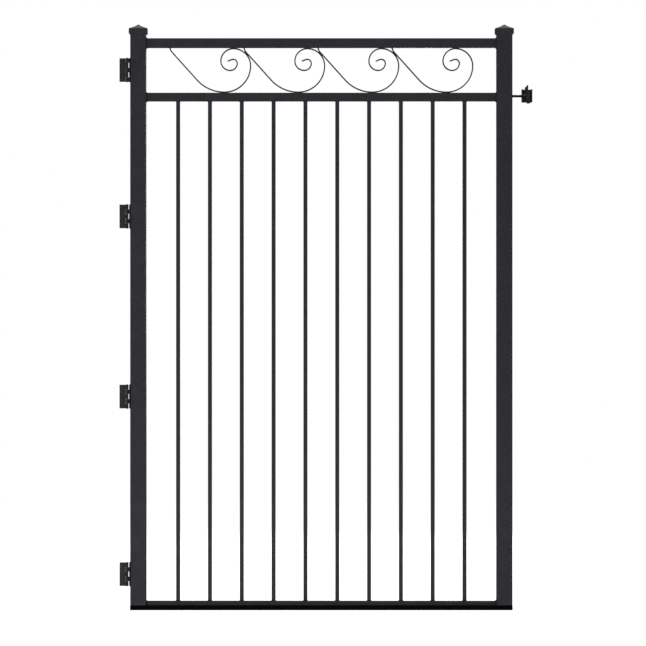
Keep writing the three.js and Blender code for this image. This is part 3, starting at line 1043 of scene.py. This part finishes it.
class GATE_OT_striker(bpy.types.Operator):
    """Make the grooved striker rod on the latch post"""

    bl_idname = "gate.striker"
    bl_label = "Striker rod"

    def execute(self, context):
        low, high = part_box("striker_rod")
        radius = half_size("striker_rod").z
        waist, half_width = 0.7 * MM, 1.5 * MM  # depth and half width of the groove
        groove = low.x + 19.3 * MM
        profile = [(radius, low.x)]
        for k in range(9):
            turn = math.pi * k / 8
            depth = waist * math.sin(turn) ** 0.8 if 0 < k < 8 else 0
            profile.append((radius - depth, groove - half_width * math.cos(turn)))
        profile += [(radius, high.x - 1.3 * MM), (radius - 0.15 * MM, high.x - 0.75 * MM)]
        profile += [(radius - 0.6 * MM, high.x - 0.25 * MM), (radius - 1.3 * MM, high.x)]
        centre = middle("striker_rod")
        rod = build("striker_bar", [turned(profile, Vector((0, centre.y, centre.z)), "x", 48)])
        soften(rod, 0.12 * MM, 2, 50)
        dress(rod, "gate", "pin_steel", finish("blackened_steel"), "striker_rod")
        return {"FINISHED"}


class GATE_OT_latch(bpy.types.Operator):
    """Make the latch: a folded housing, a hooked pawl with a thumb tab, and its riveted pivot"""

    bl_idname = "gate.latch"
    bl_label = "Latch"

    def execute(self, context):
        self.rounding = context.scene.gate_details.edge_rounding
        self.low, self.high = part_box("latch_housing")
        self.wall = 3 * MM
        self.pivot = middle("latch_pivot")
        self.striker = middle("striker_rod")
        self.make_housing()
        self.make_pawl()
        self.make_pivot()
        return {"FINISHED"}

    def make_housing(self):
        low, high, wall = self.low, self.high, self.wall
        outer, inner = 4.2 * MM, 1.2 * MM  # radii of the folds
        past = 1 * MM  # how far the cuts run past the metal
        outline = [(low.x, low.y), (low.x + wall, low.y)]
        outline += arc(low.x + wall + inner, high.y - wall - inner, inner, 180, 90, 4)
        outline += arc(high.x - wall - inner, high.y - wall - inner, inner, 90, 0, 4)
        outline += [(high.x - wall, low.y), (high.x, low.y)]
        outline += arc(high.x - outer, high.y - outer, outer, 0, 90, 6)
        outline += arc(low.x + outer, high.y - outer, outer, 90, 180, 6)
        piece = build("latch_body", [prism(outline, low.z, high.z, "z")])
        clearance, flare = 1 * MM, 4 * MM  # round the striker, and at the slot's mouth
        half = self.striker_radius() + clearance
        y, z = self.striker.y, self.striker.z
        end = y - 0.5 * MM
        slot = [(low.y - past, z - half - flare - past), (low.y + flare, z - half)]
        slot += arc(end, z, half, -90, 90, 14)
        slot += [(low.y + flare, z + half), (low.y - past, z + half + flare + past)]
        combine(piece, prism(slot, low.x - past, low.x + wall + 0.5 * MM, "x"), "DIFFERENCE")
        radius = 3.1 * MM
        bore = [(radius, low.x - past), (radius, high.x + past)]
        axis = Vector((0, self.pivot.y, self.pivot.z))
        combine(piece, turned(bore, axis, "x", 32), "DIFFERENCE")
        soften(piece, self.rounding, 2, 40)
        dress(piece, "mounting", "hinge_steel", finish("hinge_paint"), "latch_housing")

    def striker_radius(self):
        return half_size("striker_rod").z

    def make_pawl(self):
        """The hook of the frame's pawl, with rounder corners and three ridges on its thumb tab."""
        _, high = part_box("latch_pawl")
        pivot = self.pivot
        left, right = self.hub_ends()
        play, width = 4.2 * MM, 10.8 * MM
        x1 = self.high.x - self.wall - play
        x0 = x1 - width
        hub, arm = 6 * MM, 14.5 * MM  # radius round the pivot, and height of the arm above it
        clear = 2 * MM  # between the hook and the striker, with the gate closed
        pivot_back, pivot_rise = 12 * MM, 1 * MM  # from the striker to the pivot
        over = self.striker_radius() + clear - pivot_rise
        behind = -pivot_back - self.striker_radius() - clear
        front = -31 * MM
        tip = -24.5 * MM
        side = [
            (0, hub), (0, -hub), (-3 * MM, -hub + 1 * MM), (-5 * MM, over - 3 * MM),
            (-6.2 * MM, over - 0.9 * MM), (-8 * MM, over), (behind + 2 * MM, over),
            (behind + 0.6 * MM, over - 0.6 * MM), (behind, over - 2 * MM), (behind - 1 * MM, tip + 2 * MM),
            (behind - 2.2 * MM, tip), (behind - 4 * MM, tip), (behind - 5.4 * MM, tip + 1.6 * MM),
            (front, 6 * MM), (front, arm - 2 * MM), (front + 0.6 * MM, arm - 0.6 * MM),
            (front + 2 * MM, arm), (-8 * MM, arm), (-4 * MM, arm - 3.2 * MM),
        ]
        side = [(pivot.y + y, pivot.z + z) for y, z in side]
        piece = build("pawl", [prism(side, x0, x1, "x")])
        tab_z = high.z - pivot.z - arm
        foot = arm - 6 * MM
        tab = [
            (x0 + 5.4 * MM, foot), (x0 + 5.4 * MM, arm + tab_z), (x0 + 4 * MM, arm + tab_z),
            (x0 - 5.6 * MM, arm + 10.5 * MM), (x0 - 5.6 * MM, foot),
        ]
        tab = [(x, pivot.z + z) for x, z in tab]
        tab_y = pivot.y + front + 6 * MM
        combine(piece, prism(tab, tab_y, tab_y + 5 * MM, "y"), "UNION")
        ridge, pitch, length = 0.55 * MM, 2.6 * MM, 8 * MM
        for k in range(3):
            grip = arc(x0 - 3.6 * MM + k * pitch, tab_y, ridge, 0, 360, 12)[:-1]
            z0 = pivot.z + arm + 1 * MM
            combine(piece, prism(grip, z0, z0 + length, "z"), "UNION")
        inset = 0.02 * MM  # keeps the heel's sides off the hook's
        sole, top = -9 * MM, -3 * MM
        heel = [(x0 + inset, sole), (x1 - inset, sole), (x1 - inset, top), (x0 + inset, top)]
        heel = [(x, pivot.z + z) for x, z in heel]
        combine(piece, prism(heel, pivot.y - 0.5 * MM, high.y, "y"), "UNION")
        axis = Vector((0, pivot.y, pivot.z))
        combine(piece, turned([(hub, left), (hub, right)], axis, "x", 48), "UNION")
        radius = 3.08 * MM
        bore = [(radius, left - 1 * MM), (radius, right + 1 * MM)]
        combine(piece, turned(bore, axis, "x", 32), "DIFFERENCE")
        soften(piece, self.rounding * 1.5, 2, 38)
        dress(piece, "latch_pawl", "latch_steel", finish("latch_paint"), "latch_pawl")

    def hub_ends(self):
        play = 0.4 * MM
        return self.low.x + self.wall + play, self.high.x - self.wall - play

    def make_pivot(self):
        """A rivet: its left head is domed, its right end is flush with the housing."""
        _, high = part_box("latch_pivot")
        radius = half_size("latch_pivot").z
        dome, proud = 4.6 * MM, 1.5 * MM
        start = self.low.x
        profile = [(0.3 * MM, start - proud), (dome * 0.45, start - proud * 0.93)]
        profile += [(dome * 0.8, start - proud * 0.66), (dome * 0.97, start - proud * 0.28)]
        profile += [(dome, start - 0.02 * MM), (radius, start - 0.02 * MM), (radius, high.x)]
        centre = Vector((0, self.pivot.y, self.pivot.z))
        rivet = build("pivot_rivet", [turned(profile, centre, "x", 40)])
        soften(rivet, 0.12 * MM, 2, 50)
        dress(rivet, "mounting", "pin_steel", finish("blackened_steel"), "latch_pivot")


class GATE_OT_welds(bpy.types.Operator):
    """Lay the weld beads that join the rails, pickets, scrolls, hinges and striker"""

    bl_idname = "gate.welds"
    bl_label = "Weld beads"

    def execute(self, context):
        details = context.scene.gate_details
        self.rail_welds(details.rail_weld)
        self.picket_welds(details.picket_weld)
        self.scroll_welds(details.scroll_weld)
        for number in HINGES:
            self.lay("leaf_welds_" + number, Hinge(number).welds(details.leaf_weld))
        self.striker_weld(details.picket_weld)
        return {"FINISHED"}

    def lay(self, name, shells):
        piece = build(name, shells)
        piece.data.shade_smooth()
        return dress(piece, "gate", "coated_steel", finish("powder_coat"))

    def rail_welds(self, leg):
        """Round each rail's ends. The bottom rail's are left open below, inside the edging."""
        corner, covered = 2 * MM, 1 * MM
        for rail in RAILS:
            half = half_size(rail).z
            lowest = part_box(rail)[0].z + covered if rail == "bottom_rail" else None
            for stile, direction in zip(STILES, (1, -1)):
                low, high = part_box(stile)
                face = high.x if direction > 0 else low.x
                shell = square_fillet(middle(rail), half, corner, "x", face, direction, leg, lowest)
                self.lay(f"{rail}_{stile}_weld", [shell])

    def picket_welds(self, leg):
        corner = 0.9 * MM
        foot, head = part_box("bottom_rail")[1].z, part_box("middle_rail")[0].z
        for name in PICKETS:
            half = half_size(name).x
            shells = [
                square_fillet(middle(name), half, corner, "z", z, direction, leg)
                for z, direction in ((foot, 1), (head, -1))
            ]
            self.lay(name + "_welds", shells)

    def scroll_welds(self, radius):
        """Tacks at the front and back of each place where a scroll touches something."""
        reaches = (11 * MM, 9 * MM, 3.5 * MM)  # half lengths, in the order of the scroll's seats
        brush_reach = 9 * MM
        for i, node in enumerate(SCROLLS):
            scroll = Scroll(node)
            shells = []
            for side in (-1, 1):
                y = scroll.y + side * (scroll.half_depth - 0.5 * radius)
                for spot, reach in zip(scroll.seats(), reaches):
                    ends = [(spot.x + sign * reach, y, spot.y) for sign in (-1, 1)]
                    shells.append(tack(*ends, radius))
                if i < len(SCROLLS) - 1:
                    spot, way = scroll.brush()
                    ends = [spot + way * (sign * brush_reach) for sign in (-1, 1)]
                    shells.append(tack(*[(p.x, y, p.y) for p in ends], radius * 0.9))
            self.lay(node + "_welds", shells)

    def striker_weld(self, leg):
        centre = middle("striker_rod")
        radius = half_size("striker_rod").z
        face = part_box("latch_stile")[1].x
        steps = 52
        turns = [2 * math.pi * k / steps for k in range(steps)]
        outward = [Vector((0, math.cos(a), math.sin(a))) for a in turns]
        path = [Vector((face, centre.y, centre.z)) + out * radius for out in outward]
        upward = [Vector((1, 0, 0))] * len(path)
        self.lay("striker_weld", [fillet(path, outward, upward, leg, True)])


# ------------------------------------------------------------------ studio
# Each light's name, place, target, width and height in metres, and the setting of its power.
SOFTBOXES = (
    ("front_softbox", (-2.4, -11.0, 1.2), (0, 0, 0.9), (7.0, 5.5), "key_power"),
    ("top_softbox", (0, 1.5, 4.0), (0, 0.3, 0.9), (3.0, 2.4), "top_power"),
    ("right_strip", (5.6, -4.6, 1.9), (0, 0, 1.0), (0.9, 3.6), "strip_power"),
    ("left_strip", (-6.2, -2.6, 1.7), (0, 0, 1.0), (0.9, 3.6), "strip_power"),
    ("low_strip", (-0.45, -1.3, 0.2), (-0.15, 0, 0.0), (2.6, 0.2), "low_power"),
    ("back_softbox", (1.6, 4.8, 2.2), (0, 0, 0.9), (3.0, 3.0), "back_power"),
)


class GATE_OT_studio(bpy.types.Operator):
    """Set up the pale floor, the soft studio lights and the camera"""

    bl_idname = "gate.studio"
    bl_label = "Studio"

    def execute(self, context):
        studio = context.scene.gate_studio
        self.add_floor()
        self.add_room(context.scene, studio.ambient)
        for name, place, target, size, power in SOFTBOXES:
            self.add_softbox(name, place, target, size, getattr(studio, power))
        self.add_camera(context.scene, studio)
        context.scene.view_settings.view_transform = "Standard"
        return {"FINISHED"}

    def add_floor(self):
        """A pale paper floor that lights itself and keeps out of reflections and shadows."""
        half, corner, thickness = 9.0, 2.0, 0.02
        corners = rounded_rectangle(half, half, corner, 8)
        floor = build("floor", [prism(corners, -thickness, 0.0, "z")])
        paper = Finish("floor_paper", 0.9)
        fibre = paper.noise(400, 3)
        tone = paper.blend(paper.ranged(fibre, 0.3, 0.7), (0.88, 0.88, 0.88, 1), (0.9, 0.9, 0.9, 1))
        paper.use(colour=tone, normal=paper.relief(fibre, 0.05 * MM, 0.2))
        paper.surface.inputs["Emission Color"].default_value = (1, 1, 1, 1)
        paper.surface.inputs["Emission Strength"].default_value = 1.0
        floor.data.materials.append(paper.material)
        floor.visible_glossy = False
        floor.visible_shadow = False

    def add_room(self, scene, ambient):
        """A white room to look at, which lights the gate only softly."""
        world = bpy.data.worlds.new("studio")
        world.use_nodes = True
        nodes, links = world.node_tree.nodes, world.node_tree.links
        seen = nodes["Background"]
        seen.inputs["Color"].default_value = (1, 1, 1, 1)
        soft = nodes.new("ShaderNodeBackground")
        soft.inputs["Color"].default_value = (0.97, 0.98, 1.0, 1)
        soft.inputs["Strength"].default_value = ambient
        which = nodes.new("ShaderNodeLightPath")
        mix = nodes.new("ShaderNodeMixShader")
        links.new(which.outputs["Is Camera Ray"], mix.inputs[0])
        links.new(soft.outputs[0], mix.inputs[1])
        links.new(seen.outputs[0], mix.inputs[2])
        links.new(mix.outputs[0], nodes["World Output"].inputs["Surface"])
        scene.world = world

    def add_softbox(self, name, place, target, size, power):
        light = bpy.data.lights.new(name, "AREA")
        light.shape = "RECTANGLE"
        light.size, light.size_y = size
        light.energy = power
        box = bpy.data.objects.new(name, light)
        box.location = place
        box.rotation_euler = (Vector(target) - Vector(place)).to_track_quat("-Z", "Y").to_euler()
        box.visible_camera = False
        bpy.context.scene.collection.objects.link(box)

    def add_camera(self, scene, studio):
        data = bpy.data.cameras.new("front_view")
        data.lens = data.sensor_width * studio.camera_distance / studio.view_width
        data.clip_end = 500
        camera = bpy.data.objects.new("front_view", data)
        camera.location = (studio.aim_x, middle("middle_rail").y - studio.camera_distance, studio.aim_z)
        camera.rotation_euler = (math.pi / 2, 0, 0)
        scene.collection.objects.link(camera)
        scene.camera = camera


# ------------------------------------------------------------------ add-on
class GATE_PT_panel(bpy.types.Panel):
    """The gate's settings and the steps that make it"""

    bl_idname = "GATE_PT_panel"
    bl_label = "Garden gate"
    bl_space_type = "VIEW_3D"
    bl_region_type = "UI"
    bl_category = "Garden gate"

    def draw(self, context):
        for group in SETTINGS:
            settings = getattr(context.scene, group)
            box = self.layout.box()
            for name in settings.__annotations__:
                box.prop(settings, name)
        for step in STEPS:
            self.layout.operator(step.bl_idname)


SETTINGS = {"gate_finishes": GateFinishes, "gate_details": GateDetails, "gate_studio": GateStudio}
STEPS = (
    GATE_OT_studio,
    GATE_OT_tubes,
    GATE_OT_caps,
    GATE_OT_scrolls,
    GATE_OT_edging,
    GATE_OT_hinges,
    GATE_OT_striker,
    GATE_OT_latch,
    GATE_OT_welds,
)


def register():
    for group in (*SETTINGS.values(), *STEPS, GATE_PT_panel):
        bpy.utils.register_class(group)
    for name, group in SETTINGS.items():
        setattr(bpy.types.Scene, name, bpy.props.PointerProperty(type=group))


def unregister():
    for name in SETTINGS:
        delattr(bpy.types.Scene, name)
    for group in (GATE_PT_panel, *reversed(STEPS), *SETTINGS.values()):
        bpy.utils.unregister_class(group)


def main():
    register()
    bpy.ops.gate.studio()
    bpy.ops.gate.tubes()
    bpy.ops.gate.caps()
    bpy.ops.gate.scrolls()
    bpy.ops.gate.edging()
    bpy.ops.gate.hinges()
    bpy.ops.gate.striker()
    bpy.ops.gate.latch()
    bpy.ops.gate.welds()


if __name__ == "__main__":
    main()
